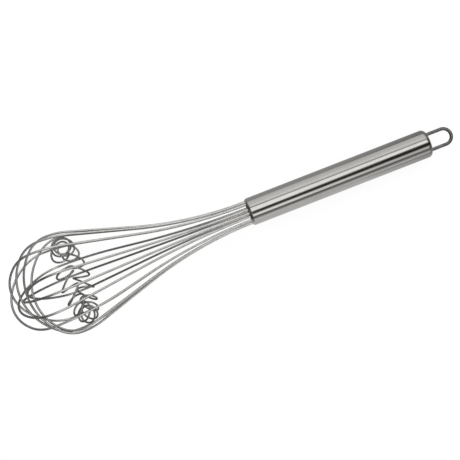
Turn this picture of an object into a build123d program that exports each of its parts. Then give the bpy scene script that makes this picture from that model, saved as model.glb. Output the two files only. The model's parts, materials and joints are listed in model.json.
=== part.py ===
from build123d import *
import os
from math import atan2, cos, degrees, dist, hypot, pi, radians, sin, sqrt, tan

# A balloon whisk for heavy batter and dough, lying as it rests on a table. Its axis runs from the tip of the
# balloon at -X to the hanging loop at +X, and the table is the plane Z = 0. All lengths are in millimetres.

# Handle
handle_length = 136.0
handle_diameter = 20.0
tube_wall = 0.8
mouth_lip_radius = 2.4
rear_lip_radius = 3.0
fit = 0.05

# Balloon of eight wire loops
wire_diameter = 1.6
balloon_length = 179.4
balloon_diameter = 73.6
dome_depth = 28.0
shoulder_share = 0.786
flare_share = 0.594
crown_share = 0.055
mouth_clearance = 0.1
crossing_gap = 0.37
held_length = 25.0
plug_overrun = 3.0

# Each loop: its turn about the axis of the whisk in degrees, from the top towards -Y, how far its tip stands
# behind the foremost one, in wires that cross there, and how far the hand-bent balloon leans to one side, in wires.
# The whisk rests on the two loops at the rest angle, and is rolled a little so that both touch the table.
rest_angle = 10.0
loops = (
    (50.1, 0.0, -1.2),
    (-42.5, 1.85, 0.9),
    (28.5, 2.85, 1.5),
    (-66.3, 3.9, 0.0),
    (rest_angle, 5.05, 0.0),
    (97.0, 6.25, 0.0),
    (-rest_angle, 7.3, 0.0),
    (71.5, 8.3, 0.0),
)

# Coil ring
coil_wire_diameter = 1.4
turn_diameter = 13.2
ring_setback = 3.65
ring_clearance = 1.15
turn_count = 16
ring_opening_angle = 36.0
first_turn_angle = -8.4
outer_advance_share = 1.15
lead_quarters = 3

# Rear cap and hanging loop
cap_thickness = 4.0
opening_rim = 0.15
loop_wire_diameter = 2.4
loop_inset = 3.55
loop_reach = 18.4
loop_held_length = 10.0
foot_bend_radius = 2.0
toe_clearance = 0.65

# Sizes worked out from the ones above
handle_radius = handle_diameter / 2
bore_radius = handle_radius - tube_wall
wire_radius = wire_diameter / 2
crown_level = balloon_diameter / 2 - wire_radius
plug_face = tube_wall + fit
tip_reach = balloon_length - wire_radius
tip_step = wire_diameter + crossing_gap
mouth_opening_radius = handle_radius - mouth_lip_radius / 2
bundle_radius = mouth_opening_radius - mouth_clearance - wire_radius
shoulder_radius = dome_depth * shoulder_share
tip_radius = (dome_depth**2 + (crown_level - shoulder_radius) ** 2 - shoulder_radius**2) / (
    2 * (dome_depth - shoulder_radius)
)
tip_half_angle = degrees(atan2(crown_level - shoulder_radius, tip_radius - dome_depth))
shoulder_angle = 90 - tip_half_angle
turn_radius = (turn_diameter - coil_wire_diameter) / 2
coil_wire_radius = coil_wire_diameter / 2
turn_step_angle = (360 - ring_opening_angle) / (turn_count - 1)
loop_wire_radius = loop_wire_diameter / 2
half_spacing = bore_radius - loop_inset
rear_opening_radius = half_spacing + loop_wire_radius + opening_rim


def root(excess):
    """The angle below an eighth of a turn, in radians, at which a falling excess reaches zero."""
    low = 0.0
    high = pi / 4
    for _ in range(40):
        middle = (low + high) / 2
        if excess(middle) > 0:
            low = middle
        else:
            high = middle
    return low


def crown_station(tips_behind):
    """Where a loop is widest, measured from the mouth of the handle."""
    return tip_reach - tips_behind * tip_step - dome_depth


# A leg of the shortest loop runs from the plug to its crown: a flare, a straight slope and the bend of the crown,
# whose shares of that run are given. The slope is the same on every leg.
shortest_crown = crown_station(max(behind for _, behind, _ in loops))
leg_run = shortest_crown + plug_face


def leg_rise(slope):
    """How far such a leg moves away from the axis when its straight part has this slope."""
    curved_share = flare_share + crown_share
    return leg_run * (curved_share * tan(slope / 2) + (1 - curved_share) * tan(slope))


cone = degrees(root(lambda slope: crown_level - bundle_radius - leg_rise(slope)))
flare_radius = leg_run * flare_share / sin(radians(cone))
flare_end = flare_radius * sin(radians(cone)) - plug_face
flare_level = bundle_radius + flare_radius * (1 - cos(radians(cone)))


def crown_radius(tips_behind, lean=0):
    """The bend between the straight part of a leg and the widest place of its loop, on a side that leans outward."""
    level = flare_level + tan(radians(cone)) * (crown_station(tips_behind) - flare_end)
    return (level - crown_level - lean) / (1 / cos(radians(cone)) - 1)


def slope_length(tips_behind, lean=0):
    """The straight part of a leg, between its flare and its crown."""
    start = crown_station(tips_behind) - crown_radius(tips_behind, lean) * sin(radians(cone))
    return (start - flare_end) / cos(radians(cone))


# How the whisk lies: it touches the table with the two lowest legs and with the rear edge of the handle


def leg_drop(tilt, roll, angle, tips_behind):
    """How far the lower leg of a loop reaches below the centre of the mouth when the whisk leans and rolls so."""
    bend = crown_radius(tips_behind)
    across = cos(radians(angle) - roll) * cos(tilt)
    centre = (crown_level - bend) * across - crown_station(tips_behind) * sin(tilt)
    return centre + bend * hypot(sin(tilt), across) + wire_radius


def handle_drop(tilt):
    """How far the rear edge of the handle reaches below the centre of the mouth."""
    along = (handle_length - rear_lip_radius) * sin(tilt)
    return along + (handle_radius - rear_lip_radius) * cos(tilt) + rear_lip_radius


def resting_roll(tilt):
    """The roll at which the two lowest legs reach down alike."""
    return root(lambda roll: leg_drop(tilt, roll, *left_rest) - leg_drop(tilt, roll, *right_rest))


def resting_drop(tilt):
    """How far down both lowest legs reach once the whisk has rolled onto them."""
    return leg_drop(tilt, resting_roll(tilt), *right_rest)


left_rest, right_rest = sorted((angle, behind) for angle, behind, _ in loops if abs(angle) == rest_angle)
tilt = root(lambda lean: resting_drop(lean) - handle_drop(lean))
roll = resting_roll(tilt)
mouth_height = handle_drop(tilt)
front_angle, _, front_lean = loops[0]
front_rise = cos(radians(front_angle) - roll) * sin(tilt)
tip_overhang = (tip_reach - tip_radius) * cos(tilt) - front_lean * wire_diameter * front_rise
tip_overhang += tip_radius * hypot(cos(tilt), front_rise) + wire_radius
loop_overhang = (handle_length + loop_reach - loop_wire_radius) * cos(tilt) + loop_wire_radius
mouth_centre = Vector((tip_overhang - loop_overhang) / 2, 0, mouth_height)
to_tip = Vector(-cos(tilt), 0, sin(tilt))
to_rear = -to_tip
upward = Vector(sin(tilt), 0, cos(tilt))
sideways = Vector(0, -1, 0)


def outward(angle):
    """The direction square to the axis of the whisk, at an angle from its top towards -Y."""
    return upward * cos(radians(angle) - roll) + sideways * sin(radians(angle) - roll)


mouth_plane = Plane(origin=mouth_centre, x_dir=-sideways, z_dir=to_rear)
rear_plane = mouth_plane.offset(handle_length)
along_axis = Axis(mouth_centre, to_rear)

# Handle tube, closed at both ends by its rolled lips
with BuildPart() as handle_tube:
    with BuildSketch(mouth_plane):
        Circle(handle_radius)
    extrude(amount=handle_length)
    rims = handle_tube.edges().filter_by(GeomType.CIRCLE).sort_by(along_axis)
    fillet(rims[0], radius=mouth_lip_radius)
    rims = handle_tube.edges().filter_by(GeomType.CIRCLE).sort_by(along_axis)
    fillet(rims[-1], radius=rear_lip_radius)
    offset(amount=-tube_wall, mode=Mode.SUBTRACT)
    with BuildSketch(mouth_plane):
        Circle(mouth_opening_radius)
    extrude(amount=mouth_lip_radius, mode=Mode.SUBTRACT)
    with BuildSketch(rear_plane):
        Circle(rear_opening_radius)
    extrude(amount=-rear_lip_radius, mode=Mode.SUBTRACT)
handle_tube.part.label = "handle_tube"


def leg_places():
    """The centres of the sixteen legs where they leave the handle, in the mouth plane."""
    places = []
    for angle, _, _ in loops:
        for half_turn in (0, 180):
            direction = outward(angle + half_turn)
            places.append(mouth_plane.to_local_coords(mouth_centre + direction * bundle_radius))
    return [(place.X, place.Y) for place in places]


# Plug moulded in the mouth of the handle, with a blind hole for each leg
plug_plane = mouth_plane.offset(plug_face)
with BuildPart() as wire_plug:
    with BuildSketch(plug_plane):
        Circle(bore_radius - fit)
    extrude(amount=held_length + plug_overrun)
    fillet(wire_plug.edges().sort_by(along_axis)[0], radius=mouth_lip_radius - tube_wall - fit)
    with BuildSketch(plug_plane):
        with Locations(*leg_places()):
            Circle(wire_radius + fit)
    extrude(amount=held_length + fit, mode=Mode.SUBTRACT)
wire_plug.part.label = "wire_plug"


def balloon_wire(angle, tips_behind, lean):
    """One closed loop: out of the plug, along the cone, over the crown and the tip, and back the same way."""
    loop_plane = Plane(origin=mouth_centre, x_dir=to_tip, z_dir=to_tip.cross(outward(angle)))
    with BuildPart() as wire:
        with BuildLine(loop_plane) as route:
            held = Line((-plug_face - held_length, bundle_radius), (-plug_face, bundle_radius))
            flare = JernArc(held @ 1, held % 1, flare_radius, cone)
            cone_line = PolarLine(flare @ 1, slope_length(tips_behind, lean), direction=flare % 1)
            bend = JernArc(cone_line @ 1, cone_line % 1, crown_radius(tips_behind, lean), -cone)
            shoulder = JernArc(bend @ 1, bend % 1, shoulder_radius, -shoulder_angle)
            tip = JernArc(shoulder @ 1, shoulder % 1, tip_radius, -2 * tip_half_angle)
            back_shoulder = JernArc(tip @ 1, tip % 1, shoulder_radius, -shoulder_angle)
            back_crown = crown_radius(tips_behind, -lean)
            back_bend = JernArc(back_shoulder @ 1, back_shoulder % 1, back_crown, -cone)
            back_line = PolarLine(back_bend @ 1, slope_length(tips_behind, -lean), direction=back_bend % 1)
            back_flare = JernArc(back_line @ 1, back_line % 1, flare_radius, cone)
            PolarLine(back_flare @ 1, held_length, direction=back_flare % 1)
        with BuildSketch(Plane(origin=route.wire() @ 0, z_dir=route.wire() % 0)):
            Circle(wire_radius)
        sweep(path=route.wire())
    return wire.part


balloon_wires = []
for index, (angle, tips_behind, wires_aside) in enumerate(loops):
    wire_part = balloon_wire(angle, tips_behind, wires_aside * wire_diameter)
    wire_part.label = f"balloon_wire_{index + 1}"
    balloon_wires.append(wire_part)


ring_station = shortest_crown - ring_setback


def ring_room(tips_behind):
    """The largest ring radius at which the coil still clears this loop, where the ring sits."""
    bend = crown_radius(tips_behind)
    reach = bend - wire_radius - turn_diameter / 2 - ring_clearance
    ahead = crown_station(tips_behind) - ring_station
    return sqrt(reach**2 - ahead**2) + crown_level - bend


ring_radius = min(ring_room(behind) for _, behind, _ in loops)
ring_centre = mouth_centre + to_tip * ring_station
advance_swing = (outer_advance_share - 1 / 2) / 2
lead_end = -1 / 4


def is_lead(turn):
    """The free start of the coil, an outer half turn that isn't drawn on to a neighbour."""
    return turn < lead_end


def coil_angle(turn):
    """Where the coil is around the ring. It advances on the outer side, and goes back a little on the inner side."""
    swing = advance_swing * sin(2 * pi * (lead_end if is_lead(turn) else turn))
    return first_turn_angle + turn_step_angle * (turn - swing)


def coil_point(turn):
    """A point of the coil's centreline, after this many turns from where the first one crosses the inner side."""
    phase = 2 * pi * turn
    radial = outward(coil_angle(turn)) * (ring_radius - turn_radius * cos(phase))
    return ring_centre + radial - to_tip * (turn_radius * sin(phase))


def coil_direction(turn):
    """The direction of the coil's centreline there."""
    phase = 2 * pi * turn
    angle = coil_angle(turn)
    swing_rate = 0 if is_lead(turn) else advance_swing * cos(phase)
    angle_rate = radians(turn_step_angle) * (1 / (2 * pi) - swing_rate)
    ahead = outward(angle + 90) * ((ring_radius - turn_radius * cos(phase)) * angle_rate)
    swing = outward(angle) * sin(phase) - to_tip * cos(phase)
    return (ahead + swing * turn_radius).normalized()


def biarc_joint(start, start_direction, end, end_direction):
    """Where two equal-sided arcs from start to end meet with one tangent."""
    chord = end - start
    both = start_direction + end_direction
    square = 2 * (1 - start_direction.dot(end_direction))
    along = chord.dot(both)
    side = (-along + sqrt(along**2 + square * chord.dot(chord))) / square
    first = start + start_direction * side
    second = end - end_direction * side
    return (first + second) / 2, (second - first).normalized()


# Coil ring: one tube, swept on two arcs for each quarter of a turn, with straight ends
quarters = range(-lead_quarters, turn_count * 4 - lead_quarters)
with BuildPart() as coil_ring:
    with BuildLine() as winding:
        first = coil_point(quarters[0] / 4)
        Line(first - coil_direction(quarters[0] / 4) * coil_wire_diameter, first)
        for quarter in quarters:
            start = coil_point(quarter / 4)
            end = coil_point((quarter + 1) / 4)
            heading = coil_direction(quarter / 4)
            joint, joint_heading = biarc_joint(start, heading, end, coil_direction((quarter + 1) / 4))
            TangentArc(start, joint, tangent=heading)
            TangentArc(joint, end, tangent=joint_heading)
        Line(end, end + coil_direction((quarters[-1] + 1) / 4) * coil_wire_diameter)
    coil_path = winding.wire()
    with BuildSketch(Plane(origin=coil_path @ 0, z_dir=coil_path % 0)):
        Circle(coil_wire_radius)
    sweep(path=coil_path)
coil_ring.part.label = "coil_ring"

# The least gap of the coil to itself, measured between points at least half a turn apart
points_per_quarter = 9
steps = range(quarters[0] * points_per_quarter, (quarters[-1] + 1) * points_per_quarter + 1)
centreline = [tuple(coil_point(step / (4 * points_per_quarter))) for step in steps]
least_gap = min(
    dist(point, other)
    for place, point in enumerate(centreline)
    for other in centreline[place + 2 * points_per_quarter :]
)
print(f"coil ring: radius {ring_radius:.2f}, least gap to itself {least_gap - coil_wire_diameter:.2f}")

# Rear cap: a flange behind the rolled lip and a flush face in its opening, with two holes for the hanging loop
with BuildPart() as rear_cap:
    with BuildSketch(rear_plane.offset(-tube_wall - fit)):
        Circle(bore_radius - fit)
    extrude(amount=-cap_thickness)
    fillet(rear_cap.edges().sort_by(along_axis)[-1], radius=rear_lip_radius - tube_wall - fit)
    with BuildSketch(rear_plane):
        Circle(rear_opening_radius - fit)
    extrude(amount=-cap_thickness)
    with BuildSketch(rear_plane):
        with Locations((-half_spacing, 0), (half_spacing, 0)):
            Circle(loop_wire_radius + fit)
    extrude(amount=-cap_thickness - tube_wall - 2 * fit, mode=Mode.SUBTRACT)
rear_cap.part.label = "rear_cap"

# Hanging loop: two legs through the cap, a half circle outside, and a foot bent outward on each end inside
loop_plane = Plane(origin=rear_plane.origin, x_dir=to_rear, z_dir=to_rear.cross(-sideways))
leg_outside = loop_reach - half_spacing - loop_wire_radius
toe_length = loop_inset - foot_bend_radius - toe_clearance
with BuildPart() as hanging_loop:
    with BuildLine(loop_plane) as bow:
        bow_leg = Line((-loop_held_length, half_spacing), (leg_outside, half_spacing))
        half_circle = JernArc(bow_leg @ 1, bow_leg % 1, half_spacing, -180)
        back_leg = PolarLine(half_circle @ 1, bow_leg.length, direction=half_circle % 1)
        back_foot = JernArc(back_leg @ 1, back_leg % 1, foot_bend_radius, 90)
        PolarLine(back_foot @ 1, toe_length, direction=back_foot % 1)
        front_foot = JernArc(bow_leg @ 0, -(bow_leg % 0), foot_bend_radius, -90)
        PolarLine(front_foot @ 1, toe_length, direction=front_foot % 1)
    bow_path = bow.wire()
    with BuildSketch(Plane(origin=bow_path @ 0, z_dir=bow_path % 0)):
        Circle(loop_wire_radius)
    sweep(path=bow_path)
hanging_loop.part.label = "hanging_loop"

print(f"tilt {degrees(tilt):.3f}, roll {degrees(roll):.3f}, cone {cone:.2f} degrees")
print(f"mouth centre {mouth_centre.X:.3f}, {mouth_centre.Z:.3f}")

os.makedirs("parts", exist_ok=True)
pieces = [handle_tube.part, wire_plug.part, rear_cap.part, hanging_loop.part, coil_ring.part, *balloon_wires]
for piece in pieces:
    export_step(piece, f"parts/{piece.label}.step")
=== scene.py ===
# %% [markdown]
# # A steel balloon whisk with a loose coil ring
#
# The real whisk is eight loops of spring wire whose sixteen ends are held in the mouth of a plain steel
# tube. A long thin wire, wound into a coil and closed into a ring, rolls loose inside the balloon and
# breaks up lumps of dough. Every piece here is bare stainless steel, so this lesson is mostly about
# metal: how a tube, a wire and a spring each catch the light of a studio.
#
# The shapes come packed in a frame, one object for each piece. They are right as they are, so this script
# gives them their finishes, a table, light and a camera, and leaves their meshes alone.

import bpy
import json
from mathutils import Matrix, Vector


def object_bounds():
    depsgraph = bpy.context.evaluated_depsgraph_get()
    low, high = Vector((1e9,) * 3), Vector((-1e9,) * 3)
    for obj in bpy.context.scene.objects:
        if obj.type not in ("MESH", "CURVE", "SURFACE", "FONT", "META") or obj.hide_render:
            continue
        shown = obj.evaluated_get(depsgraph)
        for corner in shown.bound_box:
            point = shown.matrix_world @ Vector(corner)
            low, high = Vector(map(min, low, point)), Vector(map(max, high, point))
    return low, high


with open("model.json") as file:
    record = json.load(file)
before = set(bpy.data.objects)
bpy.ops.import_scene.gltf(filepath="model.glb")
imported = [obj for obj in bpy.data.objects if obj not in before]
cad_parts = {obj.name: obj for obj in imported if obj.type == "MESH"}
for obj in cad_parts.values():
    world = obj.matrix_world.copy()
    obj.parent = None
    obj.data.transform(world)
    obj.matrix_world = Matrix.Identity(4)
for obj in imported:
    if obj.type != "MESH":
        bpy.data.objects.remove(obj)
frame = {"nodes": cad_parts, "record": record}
print("pieces:", ", ".join(sorted(frame["nodes"])))

# %% [markdown]
# The box of the imported model is kept before anything is added. A finish must never make the whisk
# larger than it is.

# %% Measure the imported whisk
import json
from math import cos, degrees, pi, radians, sin

import bpy
from mathutils import Matrix, Vector

packed_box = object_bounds()
packed_size = Vector(packed_box[1]) - Vector(packed_box[0])
print("size in mm:", [round(side * 1000, 1) for side in packed_size])

# %% [markdown]
# The whisk lies tilted, because its balloon is thicker than its handle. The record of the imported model
# says where the handle can be gripped and in which direction it points. From that come the whisk's own
# directions: towards the hanging loop, up from its back, and across. Brush marks and the camera both
# follow them.

# %% Find the directions of the whisk
mouth_to_grip = 0.0024

grip = next(mount for mount in frame["record"]["mounts"] if mount["name"] == "handle_grip")
to_loop = Vector(grip["axis"]).normalized()
across_whisk = Vector((0, -1, 0))
up_from_whisk = across_whisk.cross(to_loop).normalized()
half_grip = grip["dims"]["length_mm"] / 2000
mouth_centre = Vector(grip["pos_m"]) - to_loop * (half_grip + mouth_to_grip)
whisk_tilt = to_loop.angle(Vector((1, 0, 0)))
print(f"tilt {degrees(whisk_tilt):.2f} degrees, mouth of the handle {mouth_centre[:]}")

# %% [markdown]
# ## The camera
#
# The photograph looks almost straight down on the whisk, with the balloon at the lower left and the loop
# at the upper right. A camera could be placed by eye and turned until the picture fits. Here it is placed
# from measurements instead: how far the mouth of the handle lies from the middle of the picture, how much
# the whisk is turned in the picture, and how much nearer things look larger, which gives the distance.

# %% Place the camera
turn_about_whisk = radians(2.25)
turn_in_plane = radians(0.45)
picture_turn = radians(20.83)
camera_distance = 0.572
field_width = 0.324
mouth_right_of_middle = 0.0162
mouth_above_middle = 0.00685

towards_camera = up_from_whisk * cos(turn_about_whisk) + across_whisk * sin(turn_about_whisk)
below_in_picture = across_whisk * cos(turn_about_whisk) - up_from_whisk * sin(turn_about_whisk)
level_right = to_loop * cos(turn_in_plane) + below_in_picture * sin(turn_in_plane)
level_down = below_in_picture * cos(turn_in_plane) - to_loop * sin(turn_in_plane)
aim = mouth_centre - level_right * mouth_right_of_middle + level_down * mouth_above_middle
picture_right = level_right * cos(picture_turn) + level_down * sin(picture_turn)
picture_up = level_right * sin(picture_turn) - level_down * cos(picture_turn)

camera_data = bpy.data.cameras.new("camera")
camera_data.sensor_width = 36
camera_data.lens = camera_data.sensor_width * camera_distance / field_width
camera_data.clip_start = 0.02
camera_data.clip_end = 20
camera = bpy.data.objects.new("camera", camera_data)
bpy.context.scene.collection.objects.link(camera)
camera_axes = Matrix((picture_right, picture_up, towards_camera)).transposed()
camera.matrix_world = Matrix.Translation(aim + towards_camera * camera_distance) @ camera_axes.to_4x4()
bpy.context.scene.camera = camera
print(f"lens {camera_data.lens:.1f} mm, {camera_distance * 1000:.0f} mm from the whisk")

# %% [markdown]
# ## Small tools for nodes
#
# The table, the room and the finishes are all trees of nodes. An input of a node takes either the output
# of another node or a plain value, so the first helper feeds it with whichever it is given. The others
# make the nodes that come back most: a sum, a change of range, a blend of two colours and a ramp of
# brightness.

# %% Helpers for node trees
def feed(tree, socket, value):
    """Feed an input with another node's output, a colour or a plain value."""
    if isinstance(value, bpy.types.NodeSocket):
        tree.links.new(value, socket)
    elif socket.type == "RGBA":
        socket.default_value = (*value, 1)
    else:
        socket.default_value = value


def calculate(tree, operation, *values):
    """The result of a sum on numbers."""
    node = tree.nodes.new("ShaderNodeMath")
    node.operation = operation
    for socket, value in zip(node.inputs, values):
        feed(tree, socket, value)
    return node.outputs["Value"]


def calculate_vector(tree, operation, *values):
    """The result of a sum on places or directions. It is a number for a length or a dot product."""
    node = tree.nodes.new("ShaderNodeVectorMath")
    node.operation = operation
    for socket, value in zip(node.inputs, values):
        feed(tree, socket, value)
    return node.outputs["Value" if operation in ("LENGTH", "DOT_PRODUCT") else "Vector"]


def spread(tree, value, low, high, from_low=0, from_high=1):
    """A value from one range spread over another."""
    node = tree.nodes.new("ShaderNodeMapRange")
    limits = {"From Min": from_low, "From Max": from_high, "To Min": low, "To Max": high}
    for socket_name, limit in limits.items():
        node.inputs[socket_name].default_value = limit
    feed(tree, node.inputs["Value"], value)
    return node.outputs["Result"]


def blend(tree, share, first, second, way="MIX"):
    """A colour that goes from the first to the second as the share goes from 0 to 1."""
    node = tree.nodes.new("ShaderNodeMix")
    node.data_type = "RGBA"
    node.blend_type = way
    for socket_name, value in (("Factor", share), ("A", first), ("B", second)):
        feed(tree, node.inputs[socket_name], value)
    return node.outputs["Result"]


def ramp(tree, place, stops, warmth=0):
    """Brightness by place, with the stops from 0 to 1. Warmth is the share of blue that is taken away."""
    node = tree.nodes.new("ShaderNodeValToRGB")
    elements = node.color_ramp.elements
    elements.remove(elements[-1])
    for number, (position, brightness) in enumerate(stops):
        stop = elements[0] if number == 0 else elements.new(position)
        stop.position = position
        stop.color = (brightness, brightness * (1 - warmth / 2), brightness * (1 - warmth), 1)
    feed(tree, node.inputs["Fac"], place)
    return node.outputs["Color"]


print("node helpers ready")

# %% [markdown]
# ## The table
#
# The whisk lies on white paper. A white floor could be made with a strong lamp, but that would burn out
# the steel as well. Instead, the paper is a plain grey that takes the soft shadow of the whisk, and it
# gives off the rest of its white by itself, where the camera looks at it. Reflections see less of it, as a
# painted reflection laid out by place on the paper: a glow that is bright beside the handle, dimmer on the
# side above the whisk in the picture, and dark past both ends. The dimmer side and the dark ends are
# painted shade.

# %% Lay the table
table_reach = 3.0

table_mesh = bpy.data.meshes.new("table")
table_corners = [(x * table_reach, y * table_reach, 0) for x, y in ((-1, -1), (1, -1), (1, 1), (-1, 1))]
table_mesh.from_pydata(table_corners, [], [(0, 1, 2, 3)])
table = bpy.data.objects.new("table", table_mesh)
bpy.context.scene.collection.objects.link(table)
print(f"table {2 * table_reach:.0f} m wide")

# %% [markdown]
# The paper's material adds the two parts together. A ramp along the table and a soft step across it paint
# how bright the paper looks in steel, a painted reflection with painted shade, and the kind of ray decides
# which glow counts.

# %% Finish: glowing paper
paper_grey = 0.12
paper_dullness = 0.9
paper_sheen = 0.1
camera_glow = 0.89
# each stop of the painted reflection: where on the table along its length in metres, and how bright the paper
# is painted to look in steel there
painted_reflection_along = ((-0.2, 0.0), (-0.1, 0.02), (0.0, 0.6), (0.1, 0.6), (0.16, 0.3), (0.22, 0.0))
# painted shade in reflections: the side of the table above the whisk in the picture glows to steel at only
# this share
painted_shade_upper_share = 0.48
half_step_across = 0.02

paper = bpy.data.materials.new("glowing paper")
paper.use_nodes = True
paper_tree = paper.node_tree
paper_tree.nodes.clear()
paper_face = paper_tree.nodes.new("ShaderNodeBsdfPrincipled")
feed(paper_tree, paper_face.inputs["Base Color"], (paper_grey, paper_grey, paper_grey))
feed(paper_tree, paper_face.inputs["Roughness"], paper_dullness)
feed(paper_tree, paper_face.inputs["Specular IOR Level"], paper_sheen)

paper_place = paper_tree.nodes.new("ShaderNodeTexCoord")
paper_parts = paper_tree.nodes.new("ShaderNodeSeparateXYZ")
feed(paper_tree, paper_parts.inputs["Vector"], paper_place.outputs["Object"])
tip_end, loop_end = painted_reflection_along[0][0], painted_reflection_along[-1][0]
glow_stops = [((place - tip_end) / (loop_end - tip_end), brightness) for place, brightness in painted_reflection_along]
place_on_table = spread(paper_tree, paper_parts.outputs["X"], 0, 1, tip_end, loop_end)
along_glow = ramp(paper_tree, place_on_table, glow_stops)
# painted shade: the paper glows less to steel on the side above the whisk, blending over a half step either
# side
painted_shade_across = spread(
    paper_tree, paper_parts.outputs["Y"], painted_shade_upper_share, 1, half_step_across, -half_step_across
)
# painted reflection: the glow that only steel sees, bright beside the handle and dark past both ends
painted_reflection_glow = calculate(paper_tree, "MULTIPLY", along_glow, painted_shade_across)

ray = paper_tree.nodes.new("ShaderNodeLightPath")
seen_in_steel = calculate(paper_tree, "MULTIPLY", ray.outputs["Is Glossy Ray"], painted_reflection_glow)
glow = calculate(paper_tree, "MULTIPLY_ADD", ray.outputs["Is Camera Ray"], camera_glow, seen_in_steel)
paper_glow = paper_tree.nodes.new("ShaderNodeEmission")
feed(paper_tree, paper_glow.inputs["Strength"], glow)
paper_sum = paper_tree.nodes.new("ShaderNodeAddShader")
feed(paper_tree, paper_sum.inputs[0], paper_face.outputs["BSDF"])
feed(paper_tree, paper_sum.inputs[1], paper_glow.outputs["Emission"])
paper_out = paper_tree.nodes.new("ShaderNodeOutputMaterial")
feed(paper_tree, paper_out.inputs["Surface"], paper_sum.outputs["Shader"])
table.data.materials.append(paper)
brightest_in_steel = max(brightness for _, brightness in painted_reflection_along)
print(f"paper grey {paper_grey}, glow {camera_glow} to the camera, up to {brightest_in_steel} to steel")

# %% [markdown]
# ## The studio
#
# Bare metal has hardly any colour of its own: what it shows is the room. The handle in the photograph
# shows two long soft boxes as white lines, with a dark gap between them where the camera stands, and grey
# walls to either side. The wires add to that: where they slope up towards the tip they are bright, and
# where they slope down, and round the tip, they are nearly black, so the room is dark beyond the balloon.
#
# Lamps and cards could be hung in the scene for all this. A pattern in the world does the same with less
# noise. It needs two measures of every direction: how far it leans from overhead to either side of the
# whisk, and how far it points along the whisk. Both are brought to a range from 0 to 1, which is what a
# ramp takes.

# %% Measure directions in the room
room = bpy.data.worlds.new("studio")
bpy.context.scene.world = room
room.use_nodes = True
room_tree = room.node_tree
room_tree.nodes.clear()

direction = room_tree.nodes.new("ShaderNodeTexCoord").outputs["Generated"]
sideways = calculate_vector(room_tree, "DOT_PRODUCT", direction, below_in_picture)
overhead = calculate_vector(room_tree, "DOT_PRODUCT", direction, towards_camera)
along = calculate_vector(room_tree, "DOT_PRODUCT", direction, to_loop)
lean = calculate(room_tree, "ARCTAN2", sideways, overhead)
lean_place = calculate(room_tree, "MULTIPLY_ADD", lean, 1 / (2 * pi), 0.5)
along_place = calculate(room_tree, "MULTIPLY_ADD", along, 0.5, 0.5)


def ramp_by_lean(stops, warmth=0):
    """Brightness in the room by the lean from overhead, with the stops in degrees."""
    return ramp(room_tree, lean_place, [(stop / 360 + 0.5, brightness) for stop, brightness in stops], warmth)


def ramp_along(stops):
    """Brightness in the room along the whisk, with the stops from -1 beyond the tip to 1 beyond the loop."""
    return ramp(room_tree, along_place, [(stop / 2 + 0.5, brightness) for stop, brightness in stops])


print("directions measured from", [round(part, 3) for part in towards_camera])

# %% [markdown]
# The walls are long bands beside the whisk. There are three sets of them. Over the handle, the gap
# between the two soft boxes is dark. Over the balloon it is filled, because the wires in the photograph
# show no dark line there. Towards the loop it is wider on one side and the soft box on its other side is
# dimmer. The second and the third set are worked out from the first.

# %% Paint the walls
wall_warmth = 0.02
# each band: its lean from overhead in degrees, and how bright it is
bands = (
    (-100, 0.62), (-80, 0.82), (-60, 0.92), (-45, 1.1), (-37, 1.08), (-33, 0.4), (-28, 0.45), (-24, 1.45),
    (0, 1.6), (5, 0.3), (9, 0.04), (22, 0.03), (26, 0.3), (30, 1.35), (43, 1.4), (49, 0.2),
    (57, 0.16), (67, 0.42), (80, 0.82), (100, 1.1),
)
gap_start, gap_middle, gap_end = 0, 15, 43
filled_gap_brightness = 1.3
gap_widening = 6
dimmed_box_share = 0.58

filled_bands = [band for band in bands if not gap_start < band[0] < gap_end]
filled_bands.append(((gap_start + gap_end) / 2, filled_gap_brightness))
rear_bands = []
for band_lean, brightness in bands:
    if gap_start <= band_lean < gap_middle:
        rear_bands.append((band_lean - gap_widening, brightness))
    elif gap_middle < band_lean <= gap_end:
        rear_bands.append((band_lean, brightness * dimmed_box_share))
    else:
        rear_bands.append((band_lean, brightness))
handle_wall = ramp_by_lean(bands, wall_warmth)
balloon_wall = ramp_by_lean(sorted(filled_bands), wall_warmth)
rear_wall = ramp_by_lean(rear_bands, wall_warmth)
print(f"{len(bands)} bands from {bands[0][0]} to {bands[-1][0]} degrees")

# %% [markdown]
# Along the whisk, one set of bands goes over into the next. The light also falls off along the whisk,
# steeply overhead and gently at the sides, and its falloff is multiplied with the bands.

# %% Let the light fall off along the whisk
# each stop: how far a direction points along the whisk, from -1 beyond the tip to 1 beyond the loop
gap_opens = ((-0.1, 0.2), (0.02, 1))
gap_widens = ((0.08, 0), (0.22, 1))
falloff_overhead = (
    (-1, 0.35), (-0.88, 0.05), (-0.7, 0.03), (-0.5, 0.15), (-0.4, 0.22), (-0.2, 0.18), (-0.04, 0.95),
    (0.3, 0.95), (0.5, 0.8), (0.68, 0.25), (1, 0.03),
)
falloff_at_sides = ((-1, 0.08), (-0.6, 0.2), (-0.3, 0.6), (0, 1), (0.3, 1), (0.65, 0.5), (1, 0.45))
# each stop: a lean from overhead in degrees, and how much of the falloff at the sides counts there
sides = ((-70, 1), (-40, 0), (40, 0), (70, 1))

front_wall = blend(room_tree, ramp_along(gap_opens), balloon_wall, handle_wall)
whole_wall = blend(room_tree, ramp_along(gap_widens), front_wall, rear_wall)
falloff = blend(room_tree, ramp_by_lean(sides), ramp_along(falloff_overhead), ramp_along(falloff_at_sides))
lit_wall = blend(room_tree, 1, whole_wall, falloff, way="MULTIPLY")
print("the bands change over between", gap_opens[0][0], "and", gap_widens[-1][0])

# %% [markdown]
# Only reflections see this pattern. Everything else sees an even white room, which lights the whisk at a
# plain level.

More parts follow.
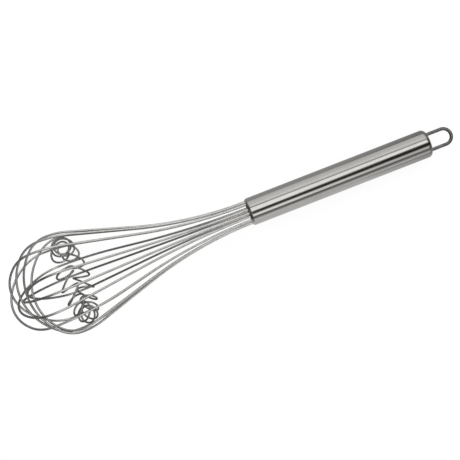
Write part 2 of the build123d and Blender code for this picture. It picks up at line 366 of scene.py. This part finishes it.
# %% Show the walls to reflections only
room_ray = room_tree.nodes.new("ShaderNodeLightPath")
even_room = room_tree.nodes.new("ShaderNodeBackground")
feed(room_tree, even_room.inputs["Color"], (1, 1, 1))
banded_room = room_tree.nodes.new("ShaderNodeBackground")
feed(room_tree, banded_room.inputs["Color"], lit_wall)
for background in (even_room, banded_room):
    feed(room_tree, background.inputs["Strength"], 1)
room_mix = room_tree.nodes.new("ShaderNodeMixShader")
feed(room_tree, room_mix.inputs["Fac"], room_ray.outputs["Is Glossy Ray"])
feed(room_tree, room_mix.inputs[1], even_room.outputs["Background"])
feed(room_tree, room_mix.inputs[2], banded_room.outputs["Background"])
room_out = room_tree.nodes.new("ShaderNodeOutputWorld")
feed(room_tree, room_out.inputs["Surface"], room_mix.outputs["Shader"])
bpy.context.scene.view_settings.view_transform = "Standard"
print("studio:", len(room_tree.nodes), "nodes")

# %% [markdown]
# One large lamp above and to the upper left gives the shadow a side to fall to. It stays out of
# reflections, because the bands already hold the soft boxes that the steel shows.

# %% Hang the lamp
lamp_place = Vector((-0.15, 0.35, 0.9))

lamp_data = bpy.data.lights.new("soft box", "AREA")
lamp_data.shape = "RECTANGLE"
lamp_data.size = 0.9
lamp_data.size_y = 0.6
lamp_data.energy = 2
lamp = bpy.data.objects.new("soft box", lamp_data)
bpy.context.scene.collection.objects.link(lamp)
lamp.location = lamp_place
lamp.rotation_euler = (-lamp_place).to_track_quat("-Z", "Y").to_euler()
lamp.visible_glossy = False
lamp.visible_camera = False
print(f"lamp {lamp_place.z * 100:.0f} cm up, {lamp_data.energy} W")

# %% [markdown]
# ## Finishes that the pieces share
#
# Two effects come back on several pieces, so each is a node group with its own named sockets. The first
# is the grain that a belt or a drawing die leaves: lines that are long in one direction and very thin in
# the other two. It is noise in a space that is squeezed along the line. It could be painted on an
# unwrapped surface, but noise in space needs no unwrapping and runs round an edge without a break.

# %% Group: grain lines
# each output: how coarse its noise is and how much detail it has
grain_outputs = {"Lines": (1.0, 3.0), "Broad lines": (0.22, 2.0)}
grain_roughness = 0.6
grain_faintest, grain_fullest = 0.3, 0.7


def group_socket(group, name, in_out, kind, value=None):
    """A named socket on the outside of a node group, with its usual value."""
    socket = group.interface.new_socket(name=name, in_out=in_out, socket_type=kind)
    if value is not None:
        socket.default_value = value


grain_lines = bpy.data.node_groups.new("grain lines", "ShaderNodeTree")
group_socket(grain_lines, "Place", "INPUT", "NodeSocketVector")
group_socket(grain_lines, "Line length", "INPUT", "NodeSocketFloat", 0.03)
group_socket(grain_lines, "Line width", "INPUT", "NodeSocketFloat", 0.0002)
for output_name in grain_outputs:
    group_socket(grain_lines, output_name, "OUTPUT", "NodeSocketFloat")
grain_in = grain_lines.nodes.new("NodeGroupInput")
grain_out = grain_lines.nodes.new("NodeGroupOutput")
line_size = grain_lines.nodes.new("ShaderNodeCombineXYZ")
for axis, socket_name in (("X", "Line length"), ("Y", "Line width"), ("Z", "Line width")):
    feed(grain_lines, line_size.inputs[axis], grain_in.outputs[socket_name])
squeezed = calculate_vector(grain_lines, "DIVIDE", grain_in.outputs["Place"], line_size.outputs["Vector"])
for output_name, (noise_scale, noise_detail) in grain_outputs.items():
    noise = grain_lines.nodes.new("ShaderNodeTexNoise")
    feed(grain_lines, noise.inputs["Scale"], noise_scale)
    feed(grain_lines, noise.inputs["Detail"], noise_detail)
    feed(grain_lines, noise.inputs["Roughness"], grain_roughness)
    feed(grain_lines, noise.inputs["Vector"], squeezed)
    lines = spread(grain_lines, noise.outputs["Fac"], 0, 1, grain_faintest, grain_fullest)
    feed(grain_lines, grain_out.inputs[output_name], lines)
print("grain lines:", [item.name for item in grain_lines.interface.items_tree])

# %% [markdown]
# The second effect is use. Hands and water leave a thin, uneven film on steel, which shows only as places
# that are a little duller and a little browner than the rest. Two sizes of noise multiplied together give
# patches that never look like a repeating pattern.

# %% Group: film of use
small_patches_per_large = 6.5
large_patch_detail, small_patch_detail = 3, 4
film_faintest, film_fullest = 0.16, 0.36

film_of_use = bpy.data.node_groups.new("film of use", "ShaderNodeTree")
group_socket(film_of_use, "Place", "INPUT", "NodeSocketVector")
group_socket(film_of_use, "Patch size", "INPUT", "NodeSocketFloat", 0.012)
group_socket(film_of_use, "Film", "OUTPUT", "NodeSocketFloat")
film_in = film_of_use.nodes.new("NodeGroupInput")
film_out = film_of_use.nodes.new("NodeGroupOutput")
large_scale = calculate(film_of_use, "DIVIDE", 1, film_in.outputs["Patch size"])
small_scale = calculate(film_of_use, "MULTIPLY", large_scale, small_patches_per_large)
patches = []
for patch_scale, patch_detail in ((large_scale, large_patch_detail), (small_scale, small_patch_detail)):
    patch = film_of_use.nodes.new("ShaderNodeTexNoise")
    feed(film_of_use, patch.inputs["Vector"], film_in.outputs["Place"])
    feed(film_of_use, patch.inputs["Scale"], patch_scale)
    feed(film_of_use, patch.inputs["Detail"], patch_detail)
    patches.append(patch.outputs["Fac"])
both_patches = calculate(film_of_use, "MULTIPLY", *patches)
whole_film = spread(film_of_use, both_patches, 0, 1, film_faintest, film_fullest)
feed(film_of_use, film_out.inputs["Film"], whole_film)
print("film of use:", [item.name for item in film_of_use.interface.items_tree])

# %% [markdown]
# Every finish of the whisk is built the same way: a shader whose dullness, colour and relief come from
# the two groups. One helper starts a finish with its shader and the place on the whisk, one puts a shared
# group into it, and one joins everything up. The last makes a whole finish of the kind that only the film
# varies, because four of the pieces have one.

# %% Helpers for a finish
def start_finish(name, metallic=1):
    """A new material: its shader, and the place on it measured along the handle."""
    material = bpy.data.materials.new(name)
    material.use_nodes = True
    tree = material.node_tree
    tree.nodes.clear()
    shader = tree.nodes.new("ShaderNodeBsdfPrincipled")
    feed(tree, shader.inputs["Metallic"], metallic)
    out = tree.nodes.new("ShaderNodeOutputMaterial")
    feed(tree, out.inputs["Surface"], shader.outputs["BSDF"])
    where = tree.nodes.new("ShaderNodeTexCoord")
    level = tree.nodes.new("ShaderNodeMapping")
    feed(tree, level.inputs["Rotation"], (0, -whisk_tilt, 0))
    feed(tree, level.inputs["Vector"], where.outputs["Object"])
    return material, shader, level.outputs["Vector"]


def place_group(tree, group, **values):
    """A shared group with values of its own. Underscores stand for spaces in its socket names."""
    node = tree.nodes.new("ShaderNodeGroup")
    node.node_tree = group
    for socket_name, value in values.items():
        feed(tree, node.inputs[socket_name.replace("_", " ")], value)
    return node.outputs


def join_finish(tree, shader, dullness, colour, height, relief, relief_strength):
    """Feed a shader its dullness, its colour and the height of a relief that is this deep in metres."""
    bump = tree.nodes.new("ShaderNodeBump")
    feed(tree, bump.inputs["Distance"], relief)
    feed(tree, bump.inputs["Strength"], relief_strength)
    feed(tree, bump.inputs["Height"], height)
    feed(tree, shader.inputs["Roughness"], dullness)
    feed(tree, shader.inputs["Base Color"], colour)
    feed(tree, shader.inputs["Normal"], bump.outputs["Normal"])


def filmed_finish(name, patch_size, dullness, clean, filmed, relief, relief_strength, metallic=1):
    """A finish that only the film varies: its dullness over a range, and its colour from clean to filmed."""
    material, shader, place = start_finish(name, metallic)
    tree = material.node_tree
    film = place_group(tree, film_of_use, Place=place, Patch_size=patch_size)["Film"]
    colour = blend(tree, film, clean, filmed)
    join_finish(tree, shader, spread(tree, film, *dullness), colour, film, relief, relief_strength)
    print(f"{name}: {len(tree.nodes)} nodes")
    return material


print("finish helpers ready")

# %% [markdown]
# ## The handle
#
# The tube is ground along its length on a belt and then lightly polished. That leaves fine lines from end
# to end over reflections that are still quite clear. The lines are the grain group, a few tens of
# millimetres long and a fifth of a millimetre wide. They change the colour a little, the dullness more,
# and stand a few thousandths of a millimetre high, which is what draws the white reflections out into
# streaks.

# %% Finish: belt-ground tube
polished_dullness, ground_dullness, film_dullness = 0.06, 0.12, 0.04
tube_dark, tube_light = (0.48, 0.475, 0.465), (0.55, 0.545, 0.535)
film_brown, most_film = (0.44, 0.425, 0.39), 0.35

tube_steel, tube_shader, tube_place = start_finish("belt-ground tube")
tube_tree = tube_steel.node_tree
tube_grain = place_group(tube_tree, grain_lines, Place=tube_place, Line_length=0.035, Line_width=0.00022)
tube_film = place_group(tube_tree, film_of_use, Place=tube_place, Patch_size=0.018)["Film"]
tube_lines_dull = spread(tube_tree, tube_grain["Lines"], polished_dullness, ground_dullness)
tube_dull = calculate(tube_tree, "MULTIPLY_ADD", tube_film, film_dullness, tube_lines_dull)
tube_tone = blend(tube_tree, tube_grain["Broad lines"], tube_dark, tube_light)
tube_colour = blend(tube_tree, spread(tube_tree, tube_film, 0, most_film), tube_tone, film_brown)
join_finish(
    tube_tree, tube_shader, tube_dull, tube_colour, tube_grain["Lines"], relief=0.000002, relief_strength=0.25
)
print("belt-ground tube:", len(tube_tree.nodes), "nodes")

# %% [markdown]
# The rear cap is turned on a lathe, so its marks run in circles about the handle. The grain group draws
# straight lines only, but it doesn't need to know: the place is handed to it as height along the handle,
# distance from the middle and angle, and lines that are long in the angle come out as circles.

# %% Finish: turned cap
cap_mark_radius = 0.009
cap_dark, cap_light = (0.5, 0.495, 0.48), (0.6, 0.595, 0.58)
cap_clear, cap_dull = 0.18, 0.34

cap_steel, cap_shader, cap_place = start_finish("turned cap")
cap_tree = cap_steel.node_tree
cap_middle = Matrix.Rotation(-whisk_tilt, 3, "Y") @ mouth_centre
cap_parts = cap_tree.nodes.new("ShaderNodeSeparateXYZ")
from_middle = calculate_vector(cap_tree, "SUBTRACT", cap_place, cap_middle)
feed(cap_tree, cap_parts.inputs["Vector"], from_middle)
off_axis = cap_tree.nodes.new("ShaderNodeCombineXYZ")
for axis in ("Y", "Z"):
    feed(cap_tree, off_axis.inputs[axis], cap_parts.outputs[axis])
cap_angle = calculate(cap_tree, "ARCTAN2", cap_parts.outputs["Z"], cap_parts.outputs["Y"])
rolled_out = cap_tree.nodes.new("ShaderNodeCombineXYZ")
feed(cap_tree, rolled_out.inputs["X"], calculate(cap_tree, "MULTIPLY", cap_angle, cap_mark_radius))
feed(cap_tree, rolled_out.inputs["Y"], calculate_vector(cap_tree, "LENGTH", off_axis.outputs["Vector"]))
feed(cap_tree, rolled_out.inputs["Z"], cap_parts.outputs["X"])
cap_grain = place_group(
    cap_tree, grain_lines, Place=rolled_out.outputs["Vector"], Line_length=0.02, Line_width=0.00018
)
cap_dullness = spread(cap_tree, cap_grain["Lines"], cap_clear, cap_dull)
cap_colour = blend(cap_tree, cap_grain["Broad lines"], cap_dark, cap_light)
join_finish(
    cap_tree, cap_shader, cap_dullness, cap_colour, cap_grain["Lines"], relief=0.000006, relief_strength=0.6
)
print("turned cap:", len(cap_tree.nodes), "nodes")

# %% [markdown]
# ## The wires
#
# The balloon is spring wire, drawn through a die and then tumbled until it is bright. At its thickness a
# wire shows hardly any grain. What it does show is uneven brightness along its length, from the tumbling
# and from washing, so the film group does all the work, with patches a few millimetres long.

# %% Finish: tumbled spring wire
wire_steel = filmed_finish(
    "tumbled spring wire",
    patch_size=0.006,
    dullness=(0.12, 0.26),
    clean=(0.74, 0.74, 0.73),
    filmed=(0.6, 0.6, 0.585),
    relief=0.00001,
    relief_strength=0.2,
)

# %% [markdown]
# The coil is a thinner wire, and it was wound as it came from the die, so it is greyer and duller than
# the balloon. It has the same inputs with other values.

# %% Finish: drawn coil wire
coil_steel = filmed_finish(
    "drawn coil wire",
    patch_size=0.004,
    dullness=(0.2, 0.38),
    clean=(0.6, 0.6, 0.59),
    filmed=(0.42, 0.42, 0.41),
    relief=0.00001,
    relief_strength=0.4,
)

# %% [markdown]
# The hanging loop is a heavier wire that was bent cold and never polished. It is the darkest steel on the
# whisk.

# %% Finish: bent loop wire
loop_steel = filmed_finish(
    "bent loop wire",
    patch_size=0.005,
    dullness=(0.22, 0.4),
    clean=(0.25, 0.25, 0.25),
    filmed=(0.16, 0.16, 0.155),
    relief=0.000015,
    relief_strength=0.5,
)

# %% [markdown]
# ## The plug
#
# The resin that holds the wire ends is poured around them and shows only deep in the mouth of the handle,
# between the wires. It is dark, matt and slightly pitted where air bubbles broke at the surface.

# %% Finish: poured resin
resin = filmed_finish(
    "poured resin",
    patch_size=0.003,
    dullness=(0.5, 0.75),
    clean=(0.1, 0.1, 0.1),
    filmed=(0.16, 0.155, 0.15),
    relief=0.00008,
    relief_strength=0.6,
    metallic=0,
)

# %% [markdown]
# ## Dress the pieces
#
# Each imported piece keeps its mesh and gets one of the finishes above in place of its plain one.

# %% Give every piece its finish
finish_of = {
    "handle_tube": tube_steel,
    "rear_cap": cap_steel,
    "hanging_loop": loop_steel,
    "coil_ring": coil_steel,
    "wire_plug": resin,
}
for name, piece in frame["nodes"].items():
    finish = finish_of.get(name, wire_steel)
    piece.data.materials.clear()
    piece.data.materials.append(finish)
    piece.data.shade_smooth()
    print(f"{name}: {finish.name}")
